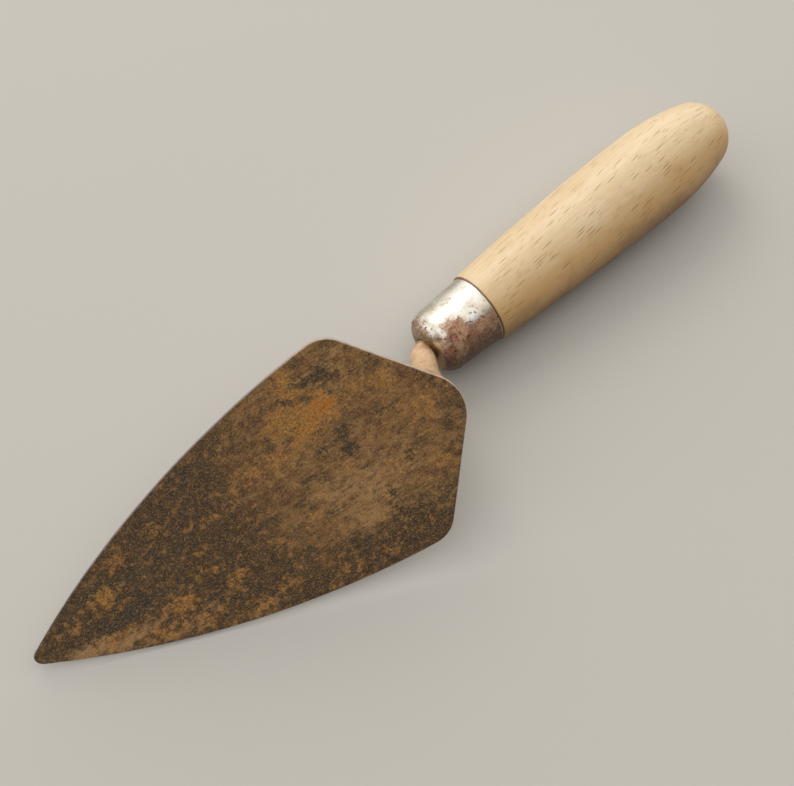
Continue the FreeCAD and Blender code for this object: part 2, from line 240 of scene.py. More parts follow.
class Shader:
    """A material's node tree, with short calls for the nodes used here."""

    def __init__(self, name):
        self.material = bpy.data.materials.new(name)
        self.material.use_nodes = True
        self.tree = self.material.node_tree
        self.surface = self.tree.nodes["Principled BSDF"]
        self.place = self.add("ShaderNodeAttribute", {}, attribute_name="place").outputs["Vector"]

    def feed(self, socket, value):
        """Link another node's output to the socket, or set a constant on it."""
        if isinstance(value, bpy.types.NodeSocket):
            self.tree.links.new(value, socket)
        else:
            socket.default_value = value

    def add(self, kind, inputs, **settings):
        """A new node with its inputs fed and its settings made."""
        node = self.tree.nodes.new(kind)
        for key, value in settings.items():
            setattr(node, key, value)
        for key, value in inputs.items():
            self.feed(node.inputs[key], value)
        return node

    def set(self, **inputs):
        """Feed the surface's own inputs, with _ for each space in their names."""
        for key, value in inputs.items():
            self.feed(self.surface.inputs[key.replace("_", " ")], value)

    def stretched(self, x, y, z, turn=(0, 0, 0)):
        """The piece's own coordinates multiplied along each axis."""
        return self.add("ShaderNodeMapping", {
            "Vector": self.place, "Scale": (x, y, z), "Rotation": turn,
        }).outputs[0]

    def noise(self, size, detail=4.0, roughness=0.55, distortion=0.0, vector=None, shift=0.0):
        """Noise with lumps of about size (millimetres unless vector is stretched)."""
        where = vector or self.place
        if shift:
            where = self.add("ShaderNodeVectorMath", {0: where, 1: (shift, shift, shift)}).outputs[0]
        return self.add("ShaderNodeTexNoise", {
            "Vector": where, "Scale": 1.0 / size, "Detail": detail,
            "Roughness": roughness, "Distortion": distortion,
        }).outputs["Fac"]

    def axes(self, vector=None):
        """The three numbers of a vector, or of the piece's own coordinates."""
        return self.add("ShaderNodeSeparateXYZ", {0: vector or self.place}).outputs

    def cells(self, size, vector=None, output="Distance", dimensions="3D"):
        """Voronoi cells of about size: the distance from their seeds, or their colour."""
        return self.add("ShaderNodeTexVoronoi", {
            "Vector": vector or self.place, "Scale": 1.0 / size,
        }, voronoi_dimensions=dimensions).outputs[output]

    def value(self, name):
        """A mask that the mesh carries."""
        return self.add("ShaderNodeAttribute", {}, attribute_name=name).outputs["Fac"]

    def math(self, kind, a, b):
        return self.add("ShaderNodeMath", {0: a, 1: b}, operation=kind).outputs[0]

    def ramp(self, value, low, high, to_low=0.0, to_high=1.0):
        """The value's range low..high spread smoothly over to_low..to_high."""
        return self.add("ShaderNodeMapRange", {
            "Value": value, "From Min": low, "From Max": high, "To Min": to_low, "To Max": to_high,
        }, interpolation_type="SMOOTHSTEP").outputs[0]

    def mix(self, factor, a, b):
        """Colour a where the factor is 0, and b where it is 1."""
        node = self.add("ShaderNodeMix", {}, data_type="RGBA")
        for socket, value in zip([node.inputs[0], node.inputs[6], node.inputs[7]], [factor, a, b]):
            self.feed(socket, value)
        return node.outputs[2]

    def bump(self, height, distance):
        """A normal raised by the height, distance millimetres at height 1."""
        return self.add("ShaderNodeBump", {
            "Height": height, "Distance": distance * MM, "Strength": 1.0,
        }).outputs[0]


# --------------------------------------------------------------------- blade

BLADE_STATIONS = 260
# Across the plate from its edge, in millimetres on the flat; the rest of the
# rings are spread evenly to the middle line, from SPINE_START to SPINE_END, which
# is taken as SPINE_DEPTH in from the edge. The mask rim is on RIM_RINGS of them.
EDGE_RINGS = (0.0, 0.12, 0.32, 0.7, 1.3, 2.1, 3.1)
RIM_RINGS = 2
INNER_RINGS = 30
BLADE_RINGS = len(EDGE_RINGS) + INNER_RINGS
SPINE_START = 14.0
SPINE_END = 134.0
SPINE_DEPTH = 15.0
# A point well inside the outline.
BLADE_MIDDLE = Vector((60.0, 0.0))

# How many points the outline's rounded corners, its edges and the last of them get.
CORNER_POINTS = 80
EDGE_POINTS = 400
LAST_EDGE_POINTS = 200

# The outline is worn in by up to twice SLOW_WEAR, and in places nicked as well.
SLOW_WEAR = 0.05
NICK_DEPTH = 0.12
# Both faces lie FACE_SINK inside the CAD plate. They wander in waves and
# ripples that grow to their full height CALM_RIM in from the edge.
FACE_SINK = 0.12
WAVE_HEIGHT, WAVE_SIZE = 0.16, 45.0
RIPPLE_HEIGHT, RIPPLE_SIZE = 0.03, 7.0
CALM_RIM = 12.0
# The edge is rounded off over ROUND_WIDTH, and thinned by wear over THIN_WIDTH,
# fully from THIN_FROM on towards the tip. The top face takes TOP_SHARE of that.
ROUND_DEPTH, ROUND_WIDTH = 0.14, 0.4
THIN_DEPTH, THIN_WIDTH = 0.5, 26.0
THIN_FROM = 70.0
TOP_SHARE = 0.35


def square_out(a, b):
    """Unit vector square to the line from a to b, away from the blade's middle."""
    out = Vector((-(b - a).y, (b - a).x)).normalized()
    return out if out.dot((a + b) / 2 - BLADE_MIDDLE) > 0 else -out


def straight_edge(a, b):
    """Two functions of a point: how deep it is inside the edge, and the edge's nearest point."""
    out = square_out(a, b)
    return (lambda p: out.dot(a - p)), (lambda p: p + out * out.dot(a - p))


def bowed_edge(a, b, bulge):
    """The same two functions for an arc that stands bulge out from the line a to b."""
    radius = ((b - a).length ** 2 / 4 + bulge ** 2) / (2 * bulge)
    centre = (a + b) / 2 + square_out(a, b) * (bulge - radius)
    return (
        lambda p: radius - (p - centre).length,
        lambda p: centre + (p - centre).normalized() * radius,
    )


def fillet(corner, one, two, radius):
    """The circle inside both edges: its centre, where it touches one, and where two.

    Newton's method, from a start a little inside the corner.
    """
    centre = corner.lerp(BLADE_MIDDLE, 0.2)
    tiny = 1e-4
    steps = Vector((tiny, 0)), Vector((0, tiny))
    for _ in range(12):
        gap = Vector((one[0](centre) - radius, two[0](centre) - radius))
        slopes = Matrix([
            [(edge[0](centre + step) - edge[0](centre)) / tiny for step in steps] for edge in (one, two)
        ])
        centre = centre - slopes.inverted() @ gap
    return centre, one[1](centre), two[1](centre)


def blade_outline():
    """The rounded kite as dense points (x, y), from the heel round by +Y to the heel."""
    half = BLADE_WIDTH / 2
    heel, tip = Vector((0, 0)), Vector((BLADE_LENGTH, 0))
    left, right = Vector((SHOULDER_DISTANCE, half)), Vector((SHOULDER_DISTANCE, -half))
    edges = [
        straight_edge(heel, left), bowed_edge(left, tip, LEFT_BULGE),
        bowed_edge(tip, right, RIGHT_BULGE), straight_edge(right, heel),
    ]
    corners = [
        (left, SHOULDER_RADIUS), (tip, TIP_RADIUS), (right, SHOULDER_RADIUS), (heel, HEEL_RADIUS)
    ]
    outline = []
    start = None
    for index, (corner, radius) in enumerate(corners):
        one, two = edges[index], edges[(index + 1) % len(edges)]
        centre, from_one, to_two = fillet(corner, one, two, radius)
        if start is not None:
            outline += [one[1](start.lerp(from_one, t)) for t in np.linspace(0, 1, EDGE_POINTS)[1:]]
        first = math.atan2(from_one.y - centre.y, from_one.x - centre.x)
        last = math.atan2(to_two.y - centre.y, to_two.x - centre.x)
        last -= 2 * math.pi * round((last - first + math.pi / 2) / (2 * math.pi))
        outline += [Vector(p) for p in arc_points(centre, radius, first, last, CORNER_POINTS)]
        start = to_two
    closing = np.linspace(0, 1, LAST_EDGE_POINTS)[1:-1]
    outline += [edges[0][1](start.lerp(outline[0], t)) for t in closing]
    first = min(range(len(outline)), key=lambda i: outline[i].x)
    return outline[first:] + outline[:first]


def evenly(points, count):
    """count points at even distances along a polyline, ends included."""
    xy = np.array([tuple(p) for p in points])
    length = np.concatenate([[0], np.cumsum(np.hypot(*np.diff(xy, axis=0).T))])
    at = np.linspace(0, length[-1], count)
    return np.stack([np.interp(at, length, xy[:, i]) for i in (0, 1)], 1)


def worn(x, y):
    """How far, in millimetres, use has nibbled the outline in at a point."""
    slow = SLOW_WEAR * (1 + rough(x, y, 3.0, 16.0, 1))
    nicks = max(0.0, rough(x, y, 8.0, 3.4, 1) - 0.35)
    return slow + nicks * NICK_DEPTH


def face_height(x, y, depth, top):
    """Height of the plate's top or bottom face, depth millimetres in from the edge."""
    wave = WAVE_HEIGHT * rough(x, y, 1.0, WAVE_SIZE, 2)
    wave += RIPPLE_HEIGHT * rough(x, y, 2.0, RIPPLE_SIZE, 2)
    wave *= min(1.0, depth / CALM_RIM)
    round_off = ROUND_DEPTH * max(0.0, 1 - depth / ROUND_WIDTH) ** 2
    wear = THIN_DEPTH * min(1.0, x / THIN_FROM) * (1 - min(1.0, depth / THIN_WIDTH)) ** 1.6
    if top:
        return wave - FACE_SINK - round_off - TOP_SHARE * wear
    return wave - BLADE_THICKNESS + FACE_SINK + (1 - TOP_SHARE) * wear + round_off


def make_blade(material):
    """Plate with a rounded, nibbled edge, thinned towards the rim and gently uneven."""
    outline = blade_outline()
    tip = max(range(len(outline)), key=lambda i: outline[i].x)
    left = evenly(outline[:tip + 1], BLADE_STATIONS)
    right = evenly(outline[tip:] + outline[:1], BLADE_STATIONS)
    loop = np.concatenate([left[:-1], right[:-1]])
    count = len(loop)
    ahead = np.roll(loop, -1, 0) - np.roll(loop, 1, 0)
    outward = np.stack([-ahead[:, 1], ahead[:, 0]], 1)
    outward /= np.linalg.norm(outward, axis=1)[:, None]
    inward = np.array(BLADE_MIDDLE) - loop
    outward *= -np.sign((outward * inward).sum(1))[:, None]
    verts, faces, rims, index = [], [], [], {}

    def vertex(key, x, y, z, rim):
        """The number of the key's vertex, which is made when it is first asked for."""
        if key not in index:
            index[key] = len(verts)
            verts.append((x, y, z))
            rims.append(rim)
        return index[key]

    def point(k, row, top):
        """The vertex at a station of the outline and a ring, 0 at the edge, last on the spine."""
        k %= count
        share = k / (BLADE_STATIONS - 1)
        share = share if share <= 1 else 2 - share
        middle = np.array([SPINE_START + (SPINE_END - SPINE_START) * share, 0.0])
        if row == BLADE_RINGS - 1:
            x, y = middle
            opposite = (2 * (BLADE_STATIONS - 1) - k) % count
            z = face_height(x, y, SPINE_DEPTH, top)
            return vertex((min(k, opposite), row, top), x, y, z, 0.0)
        edge = loop[k] - outward[k] * worn(*loop[k])
        reach = np.linalg.norm(middle - edge)
        if row < len(EDGE_RINGS):
            depth = EDGE_RINGS[row]
        else:
            last = EDGE_RINGS[-1]
            depth = last + (reach - last) * (row - len(EDGE_RINGS) + 1) / INNER_RINGS
        x, y = edge + (middle - edge) * min(1.0, depth / reach)
        rim = 1.0 if row < RIM_RINGS else 0.0
        return vertex((k, row, top), x, y, face_height(x, y, depth, top), rim)

    for k in range(count):
        for top in (True, False):
            for row in range(BLADE_RINGS - 1):
                quad = [point(k, row, top), point(k + 1, row, top),
                        point(k + 1, row + 1, top), point(k, row + 1, top)]
                quad = list(dict.fromkeys(quad))
                if len(quad) > 2:
                    faces.append(quad)
        faces.append([
            point(k, 0, False), point(k + 1, 0, False), point(k + 1, 0, True), point(k, 0, True)
        ])
    values = {"rim": rims, **blade_patina(np.array(verts))}
    return make_piece("blade_plate", verts, faces, BLADE_SEAT, material, "blade", values)


# Patches of the weathered face in the blade's own frame: x and y from the heel
# corner, half-length, half-width, strength.
RUST_PATCHES = (
    (36, -20, 4, 3.5, 1.0), (40, -17, 8, 5, 0.7), (46, -20, 9, 6, 0.75), (43, -32, 6, 2.5, 0.6),
    (48, -27, 7, 4, 0.45), (20, -19, 8, 5, 0.5), (14, -5, 9, 7, 0.5), (18, 15, 5, 6, 0.45),
    (25, 21, 6, 4, 0.15), (45, 29, 10, 3.5, 0.35), (60, 30, 8, 3, 0.4), (62, 11, 7, 3, 0.35),
    (70, 8, 7, 3, 0.3), (86, 11, 5, 3, 0.65), (93, 4.5, 3.5, 2.4, 0.75), (104, 8.5, 6, 2.6, 0.75),
    (99, 18, 14, 4, 0.4), (112, 13, 10, 3.4, 0.45), (124, 7.5, 7, 3, 0.55), (106, 0.8, 2.4, 1.8, 0.5),
    (117, 0, 3.6, 1.8, 0.6), (120, -5.5, 6.5, 2.8, 0.9), (112, -13, 6, 2.6, 0.5), (96, -16, 4, 3, 0.4),
    (85, -8.5, 5, 1.8, 0.5), (91, -1.5, 3, 2, 0.45), (74, -1, 6, 3, 0.4), (63, -12, 10, 4, 0.35),
    (70, -14, 7, 3, 0.3), (52, -12, 8, 4, 0.35), (82, 25, 12, 2.6, 0.45), (74, 21, 8, 3, 0.3),
    (134, -2, 8, 3, 0.3), (30, 8, 10, 6, 0.25),
)
DARK_PATCHES = (
    (39, -3.5, 2.6, 3.2, 1.0), (36, -9.5, 4.5, 2.8, 1.0), (44, -8.5, 2.6, 2.2, 0.95),
    (36, -4, 2, 2, 0.6), (28, -7, 3, 2.4, 0.5), (33.5, 15, 2.6, 1.8, 1.0), (35.5, 19.5, 3, 2.2, 0.8),
    (36, 23, 4, 2, 0.5), (24.5, 5.5, 3.0, 1.8, 0.75), (23, 24, 5, 7, 0.45), (26, 9.5, 1.6, 2.4, 0.6),
    (30.5, 6, 1.6, 1.4, 0.5), (17, 9, 3.5, 2, 0.35), (12, 1.5, 5, 2.4, 0.35), (34, -28, 5, 2.8, 0.85),
    (30, -25.5, 4, 2.2, 0.7), (40, -29, 3.5, 2, 0.7), (46.5, -27, 2.6, 2, 0.85),
    (33, -22.5, 2, 1.4, 0.6), (24, -8.5, 3, 2, 0.5), (54, -17.5, 3.6, 2.6, 0.4), (18, -18, 3, 2, 0.4),
    (10, 13, 3, 7, 0.4), (30, 32, 7, 3.5, 0.4), (38, 31, 7, 3, 0.45),
    (45, 24, 6, 2, 0.4), (54, 24, 8, 3, 0.45), (68, 17, 14, 5, 0.55), (79, 23, 9, 2, 0.6),
    (97, 14, 8, 2.6, 0.6), (88, 17.5, 7, 3, 0.5), (88, 7.5, 6, 2.2, 0.55), (98, 5, 6, 2, 0.6),
    (110, 2.5, 8, 3, 0.9), (119, 4, 8, 2.4, 1.15), (126, 3.0, 7, 2.2, 0.9), (110, -4, 12, 3.5, 0.55),
    (98, -8, 10, 4, 0.65), (84, -3.5, 9, 3, 0.5), (80, -14, 10, 3.4, 0.5), (84, -22, 13, 5, 0.5),
    (72, -26, 16, 4, 0.45), (117, -9.5, 14, 1.8, 0.6), (128, -8, 12, 3, 0.6), (142, 0, 5, 4, 0.6),
    (78, 5, 6, 4, 0.4), (68, 1, 4, 5, 0.25), (76, 29, 18, 2.0, 0.25), (58, -28, 10, 3, 0.35),
)
PALE_PATCHES = (
    (38, 10, 15, 9, 0.7), (46, 18, 10, 4, 0.6), (52, 5, 12, 5, 0.45), (30, -2, 14, 7, 0.3),
    (58, -10, 14, 6, 0.4), (134, 6.5, 9, 2.6, 1.0), (122, 10.5, 14, 3.2, 0.95), (104, 17, 14, 3.2, 0.6),
    (84, 25, 14, 2.6, 0.35), (27, -23, 7, 6, 0.5), (29, -31, 6, 2.5, 0.6), (46, -24, 8, 6, 0.35),
    (20, 24, 8, 8, 0.25),
)


def blade_patina(points):
    """Soft masks at each vertex for rust, dark scale and pale rubbed metal.

    The patches' outlines are frayed by a large and a small noise, and the back
    has the same patches as the face, mirrored.
    """
    warped = np.array([
        (x + 2.2 * rough(x, y, 11.0, 7.0) + 0.9 * rough(x, y, 31.0, 2.2, 2),
         y + 1.8 * rough(x, y, 21.0, 7.0) + 0.8 * rough(x, y, 41.0, 2.2, 2))
        for x, y, _z in points
    ])
    along = warped[:, 0]
    across = np.where(points[:, 2] < -BLADE_THICKNESS / 2, -1.0, 1.0) * warped[:, 1]
    masks = {}
    for name, patches in (("rust", RUST_PATCHES), ("dark", DARK_PATCHES), ("pale", PALE_PATCHES)):
        total = np.zeros(len(points))
        for x, y, long, wide, strength in patches:
            far = ((along - x) / long) ** 2 + ((across - y) / wide) ** 2
            total += strength * np.exp(-far * 1.1)
        masks[name] = np.minimum(total, 1.3)
    return masks


def blade_material():
    s = Shader("blade_rusted_steel")
    rust, dark, pale, rim = (s.value(key) for key in ("rust", "dark", "pale", "rim"))
    broad = s.noise(22.0, 3.0)
    blotch = s.noise(6.0, 6.0, 0.62, shift=40.0)
    mottle = s.noise(2.2, 6.0, 0.7, shift=90.0)
    cloud = s.noise(3.4, 3.0, 0.6, vector=s.stretched(0.75, 1.15, 1.0), shift=130.0)
    grit = s.noise(0.7, 4.0, 0.75, shift=15.0)
    sand = s.noise(0.36, 2.0, 0.8, shift=27.0)
    streak = s.noise(1.0, 4.0, 0.65, vector=s.stretched(0.16, 1.1, 0.3, (0, 0, 0.06)))
    scratch = s.noise(1.0, 3.0, 0.7, vector=s.stretched(0.5, 3.2, 0.5, (0, 0, -0.14)))
    along, across, _height = s.axes()

    # Brown patina: olive to reddish, darker towards the tip and beside the +Y edge.
    colour = s.mix(s.ramp(blotch, 0.36, 0.64), srgb(96, 70, 41), srgb(146, 106, 59))
    colour = s.mix(s.ramp(broad, 0.42, 0.62, 0.0, 0.5), colour, srgb(114, 72, 44))
    colour = s.mix(s.ramp(cloud, 0.5, 0.66, 0.0, 0.75), colour, srgb(152, 116, 70))
    colour = s.mix(s.ramp(cloud, 0.48, 0.34, 0.0, 0.8), colour, srgb(68, 52, 34))
    colour = s.mix(s.ramp(streak, 0.44, 0.66, 0.0, 0.35), colour, srgb(160, 122, 78))
    beside = s.ramp(across, 8.0, 28.0, 0.0, 0.88)
    beside = s.math("MULTIPLY", beside, s.ramp(along, 10.0, 40.0, 0.85, 1.0))
    deep = s.math("MAXIMUM", s.ramp(along, 44.0, 84.0, 0.0, 0.82), beside)
    deep = s.math("MAXIMUM", deep, s.ramp(along, 18.0, 4.0, 0.0, 0.5))
    deep = s.math("ADD", deep, s.ramp(mottle, 0.3, 0.7, 0.22, -0.3))
    deep = s.math("SUBTRACT", deep, s.math("MULTIPLY", pale, 0.7))
    colour = s.mix(s.ramp(deep, 0.0, 1.0, 0.0, 0.95), colour, srgb(62, 46, 31))

    worn_light = s.math("ADD", pale, s.ramp(mottle, 0.35, 0.7, -0.4, 0.4))
    worn_light = s.math("ADD", worn_light, s.ramp(streak, 0.35, 0.65, -0.2, 0.2))
    colour = s.mix(s.ramp(worn_light, 0.1, 1.1, 0.0, 0.75), colour, srgb(188, 146, 98))

    rusty = s.math("ADD", rust, s.ramp(mottle, 0.3, 0.7, -0.42, 0.42))
    rusty = s.math("ADD", rusty, s.ramp(blotch, 0.35, 0.68, -0.14, 0.2))
    rust_colour = s.mix(s.ramp(grit, 0.35, 0.65), srgb(148, 98, 44), srgb(204, 146, 70))
    rust_colour = s.mix(s.ramp(rusty, 0.9, 1.45, 0.0, 0.85), rust_colour, srgb(196, 118, 32))
    colour = s.mix(s.ramp(rusty, 0.15, 1.0, 0.0, 0.88), colour, rust_colour)

    scale = s.math("ADD", dark, s.ramp(mottle, 0.3, 0.7, 0.45, -0.45))
    scale = s.math("ADD", scale, s.ramp(grit, 0.3, 0.7, 0.2, -0.2))
    dark_colour = s.mix(s.ramp(blotch, 0.4, 0.6), srgb(50, 46, 38), srgb(64, 55, 42))
    colour = s.mix(s.ramp(scale, 0.32, 1.0, 0.0, 0.88), colour, dark_colour)

    # Peppering and fine scratches: sand-sized light and dark grains all over.
    colour = s.mix(s.ramp(scratch, 0.54, 0.7, 0.0, 0.35), colour, srgb(184, 150, 104))
    colour = s.mix(s.ramp(scratch, 0.46, 0.3, 0.0, 0.35), colour, srgb(60, 46, 34))
    colour = s.mix(s.ramp(grit, 0.54, 0.68, 0.0, 0.5), colour, srgb(184, 146, 94))
    colour = s.mix(s.ramp(grit, 0.46, 0.32, 0.0, 0.7), colour, srgb(48, 38, 30))
    colour = s.mix(s.ramp(sand, 0.56, 0.68, 0.0, 0.55), colour, srgb(198, 158, 104))
    colour = s.mix(s.ramp(sand, 0.44, 0.32, 0.0, 0.6), colour, srgb(38, 30, 24))
    pits = s.cells(1.7, vector=s.stretched(1, 1, 1, (0.2, 0.4, 0.1)))
    pit = s.math("MULTIPLY", s.ramp(pits, 0.22, 0.08), s.ramp(mottle, 0.46, 0.6))
    colour = s.mix(s.math("MULTIPLY", pit, 0.6), colour, srgb(40, 30, 24))

    # Handled edge: bare steel, pinkish at the heel and dark grey towards the tip, painted paler as a
    # highlight on the -Y side that faces the light and duller towards +Y as painted shade.
    steel = s.mix(s.ramp(along, 12.0, 60.0), srgb(190, 164, 146), srgb(128, 118, 114))
    steel = s.mix(s.ramp(along, 100.0, 140.0), steel, srgb(84, 78, 74))
    light_side_share = s.math("MULTIPLY", s.ramp(across, 14.0, 2.0, 0.25, 1.0), s.ramp(mottle, 0.3, 0.55, 0.6, 1.0))
    colour = s.mix(s.math("MULTIPLY", s.ramp(rim, 0.3, 0.9), light_side_share), colour, steel)

    height = s.math("ADD", s.math("MULTIPLY", mottle, 0.8), s.math("MULTIPLY", grit, 0.5))
    height = s.math("ADD", height, s.math("MULTIPLY", scratch, 0.35))
    height = s.math("SUBTRACT", height, s.math("MULTIPLY", pit, 0.4))
    s.set(
        Base_Color=colour,
        Roughness=s.ramp(mottle, 0.3, 0.7, 0.5, 0.72),
        Normal=s.bump(height, distance=0.16),
        Specular_IOR_Level=0.42,
    )
    return s.material


# --------------------------------------------------------------------- shank

# The neck starts NECK_ROOT inside the cup, bends from BEND_START behind the
# cup's front, and ends FOOT_SINK inside the plate's back.
NECK_ROOT = 0.2
BEND_START = 1.2
FOOT_SINK = 0.35
BEND_STEPS = 10
RISE_STEPS = 34
TANG_OVERLAP = 2.0
SHANK_POINTS = 72


def neck_stations():
    """(place, slope, share of the way up) from inside the nose to the foot."""
    along = Vector((math.cos(BLADE_SLOPE), 0, -math.sin(BLADE_SLOPE)))
    face = Vector((math.sin(BLADE_SLOPE), 0, math.cos(BLADE_SLOPE)))
    foot = Vector((HEEL_FORWARD, 0, HEEL_HEIGHT))
    foot += along * FOOT_POSITION - face * (BLADE_THICKNESS - FOOT_SINK)
    nose = Vector((FERRULE_LENGTH - BEND_START, 0, 0))
    pivot = nose + Vector((0, 0, NECK_BEND))
    reach = foot - pivot
    turn = math.atan2(reach.z, reach.x) + math.asin(NECK_BEND / reach.length)
    stations = [(nose - Vector((WALL + NECK_ROOT, 0, 0)), 0.0, 0.0)]
    for step in range(BEND_STEPS + 1):
        angle = turn * step / BEND_STEPS
        place = pivot + Vector((math.sin(angle), 0, -math.cos(angle))) * NECK_BEND
        stations.append((place, angle, 0.0))
    top = stations[-1][0]
    last = math.pi / 2 - BLADE_SLOPE
    for step in range(1, RISE_STEPS + 1):
        share = step / RISE_STEPS
        stations.append((top.lerp(foot, share), turn + (last - turn) * share, share))
    return stations


def make_shank(material):
    """Tapered square tang, then the forged neck that spreads into its foot.

    Its mask rise goes from -1 to 0 round the bend, and on to 1 at the foot.
    """
    circle = [2 * math.pi * k / SHANK_POINTS for k in range(SHANK_POINTS)]
    rings = []
    for x, side in ((-TANG_LENGTH, TANG_END), (FERRULE_LENGTH - WALL - TANG_OVERLAP, TANG_ROOT)):
        square = []
        for a in circle:
            flat = max(abs(math.cos(a)), abs(math.sin(a)))
            square.append(Vector((x, side / 2 * math.cos(a) / flat, side / 2 * math.sin(a) / flat)))
        rings.append(square)
    rises = [-1.0] * (2 * SHANK_POINTS)
    stations = neck_stations()
    full_turn = max(slope for _, slope, share in stations if share == 0)
    side_axis = Vector((0, 1, 0))
    for place, slope, share in stations:
        flare = share ** FLARE_POWER
        deep = NECK_DEEP + (FOOT_LENGTH / 2 - NECK_DEEP) * flare
        wide = NECK_RADIUS + (FOOT_WIDTH / 2 - NECK_RADIUS) * flare
        deep_axis = Vector((-math.sin(slope), 0, math.cos(slope)))
        foot_lumps = 0.5 * max(0.0, share - 0.9)
        row = []
        for a in circle:
            y, z = math.cos(a), math.sin(a)
            lump = 1 + 0.012 * rough(place.x + 4 * y, 4 * z, place.z, 5.0, 2)
            lump += foot_lumps * rough(6 * y, 6 * z, 9.0, 3.5, 2)
            row.append(place + (side_axis * wide * y + deep_axis * deep * z) * lump)
        rises += [share if share else slope / full_turn - 1] * SHANK_POINTS
        rings.append(row)
    verts, faces = loft(rings)
    return make_piece("shank_forging", verts, faces, LYING, material, "shank",
                      {"rise": rises + [0.0, 1.0]})


def shank_material():
    s = Shader("shank_rusted_steel")
    rise = s.value("rise")
    blotch = s.noise(4.5, 5.0, 0.6, shift=12.0)
    grain = s.noise(0.9, 5.0, 0.7, shift=60.0)
    colour = s.mix(s.ramp(blotch, 0.36, 0.66), srgb(196, 158, 122), srgb(222, 190, 152))
    colour = s.mix(s.ramp(grain, 0.44, 0.7, 0.0, 0.6), colour, srgb(176, 132, 92))
    # Painted shade: browner at its root, where it meets the ferrule's nose. Also browner from the
    # middle up, and spotted with rust.
    rise = s.math("ADD", rise, s.ramp(blotch, 0.3, 0.7, -0.25, 0.25))
    colour = s.mix(s.ramp(rise, -0.35, -0.85, 0.0, 0.7), colour, srgb(138, 104, 72))
    colour = s.mix(s.ramp(rise, 0.3, 0.85, 0.0, 0.85), colour, srgb(124, 88, 58))
    spots = s.noise(2.0, 4.0, 0.7, shift=5.0)
    colour = s.mix(s.ramp(spots, 0.62, 0.72, 0.0, 0.7), colour, srgb(112, 66, 40))
    height = s.math("ADD", grain, s.math("MULTIPLY", blotch, 1.5))
    s.set(
        Base_Color=colour,
        Roughness=s.ramp(grain, 0.3, 0.7, 0.42, 0.62),
        Normal=s.bump(height, distance=0.14),
        Metallic=0.25,
    )
    return s.material


# ------------------------------------------------------------------- ferrule

FERRULE_POINTS = 144
# The rolled rim, as (distance from the joint, depth under the ferrule's radius).
ROLLED_RIM = ((0.25, 0.75), (0.05, 0.5), (0.0, 0.28), (0.1, 0.07), (0.35, 0.0), (0.7, 0.02))
RIM_END = 1.0
RIM_GROOVE = 0.05
# The hole's edge, as (distance in front of the nose, distance out from the hole).
HOLE_EDGE = ((0.0, 0.9), (0.02, 0.35), (-0.15, 0.0))
HOLE_PLAY = 0.12
# Dents are read off noise on a cylinder of about the ferrule's radius. They
# fade out over DENT_FADE towards both ends.
DENT_RADIUS = 11.0
DENT_STRENGTH = 0.7
DENT_FADE = 3.0


def ferrule_profile():
    """Outline (x, r) of the cup's wall, round its outside and back inside."""
    nose, span = tapered_nose(FERRULE_LENGTH, FERRULE_RADIUS, NOSE_ROUND)
    inner, _ = tapered_nose(FERRULE_LENGTH - WALL, FERRULE_RADIUS - WALL, NOSE_ROUND - WALL)
    hole = NECK_DEEP + HOLE_PLAY
    side_end = nose.x + NOSE_ROUND * math.cos(span)

    def side(x, radius):
        return radius - x * math.tan(FERRULE_TAPER)

    profile = [(x, FERRULE_RADIUS - depth) for x, depth in ROLLED_RIM]
    profile.append((RIM_END, side(RIM_END, FERRULE_RADIUS) - RIM_GROOVE))
    profile += [(x, side(x, FERRULE_RADIUS)) for x in np.arange(RIM_END + 0.5, side_end - 0.4, 0.6)]
    profile += arc_points(nose, NOSE_ROUND, span, 0, 22)
    profile += [(FERRULE_LENGTH + x, hole + out) for x, out in HOLE_EDGE]
    profile += [(FERRULE_LENGTH - WALL, hole), (FERRULE_LENGTH - WALL, inner.y)]
    profile += arc_points(inner, NOSE_ROUND - WALL, 0, span, 10)
    profile += [(8.0, side(8.0, FERRULE_RADIUS - WALL)), (0.4, FERRULE_RADIUS - WALL - 0.02)]
    return profile


def make_ferrule(material):
    """Drawn cup: rolled rim at the wood, slightly dented side, round nose, holed front."""
    rings = []
    for x, radius in ferrule_profile():
        fade = min(1.0, max(0.0, x - 0.6) / DENT_FADE)
        fade *= min(1.0, (FERRULE_LENGTH - x) / DENT_FADE + 0.15)
        row = []
        for k in range(FERRULE_POINTS):
            a = 2 * math.pi * k / FERRULE_POINTS
            y, z = DENT_RADIUS * math.cos(a), DENT_RADIUS * math.sin(a)
            dent = 0.055 * rough(x, y, z, 6.0, 2) + 0.16 * rough(x + 50, y, z, 14.0, 1)
            grown = radius + (dent - 0.1) * DENT_STRENGTH * fade
            row.append(Vector((x, grown * math.cos(a), grown * math.sin(a))))
        rings.append(row)
    # The skin closes on its first ring, so the copy of that ring is dropped.
    verts, faces = loft(rings + [rings[0]], capped=False)
    doubled = len(verts) - FERRULE_POINTS
    faces = [[i if i < doubled else i - doubled for i in face] for face in faces]
    verts = verts[:doubled]
    return make_piece("ferrule_cup", verts, faces, LYING, material, "ferrule",
                      {"scab": ferrule_scabs(verts), "floor_shade": painted_shade_from_top(verts)})


